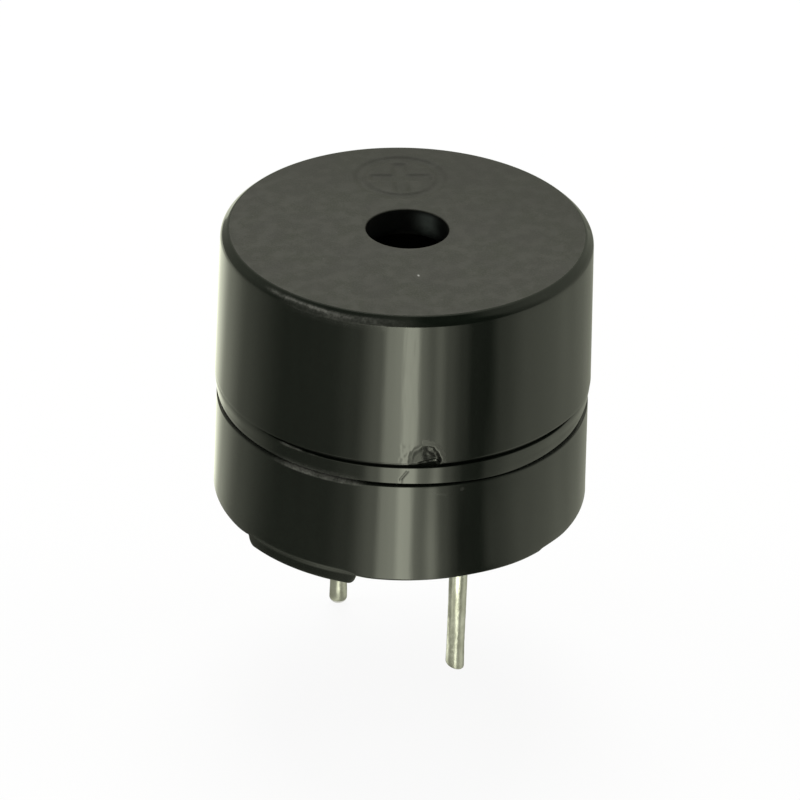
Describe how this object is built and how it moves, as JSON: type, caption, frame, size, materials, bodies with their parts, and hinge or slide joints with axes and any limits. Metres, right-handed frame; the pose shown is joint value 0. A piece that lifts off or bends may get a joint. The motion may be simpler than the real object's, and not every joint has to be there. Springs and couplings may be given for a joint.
{
  "type": "magnetic buzzer",
  "caption": "Round black two-pin buzzer for a circuit board, with a central sound hole in its cap and a plus mark beside it.",
  "frame": {"origin": "on the case's axis in the plane of the feet, which is the face of the circuit board it is fitted to", "axes": "+Z out of the sound hole; +Y towards the positive pin"},
  "size_m": [0.012, 0.012, 0.0161],
  "materials": {
    "black_plastic": "glossy moulded side walls, fine matte texture on the top face",
    "nickel_iron": "bright rolled sheet",
    "iron": "plated",
    "ferrite": "matte sintered",
    "copper_wire": "enamelled winding",
    "board_laminate": "green solder mask",
    "chip_moulding": "matte moulding",
    "chip_ceramic": "glazed top",
    "solder": "bright solder",
    "tinned_wire": "tin-dipped, slightly dull and streaked",
    "potting_resin": "poured black resin"
  },
  "bodies": {
    "root": {"upper_case": "black_plastic", "lower_case": "black_plastic", "diaphragm": "nickel_iron", "diaphragm_weight": "iron", "magnet": "ferrite", "coil": "copper_wire", "pole_core": "iron", "yoke_plate": "iron", "circuit_board": "board_laminate", "transistor": "chip_moulding", "resistor": "chip_ceramic", "solder_joints": "solder", "positive_pin": "tinned_wire", "negative_pin": "tinned_wire", "potting": "potting_resin"}
  },
  "joints": []
}
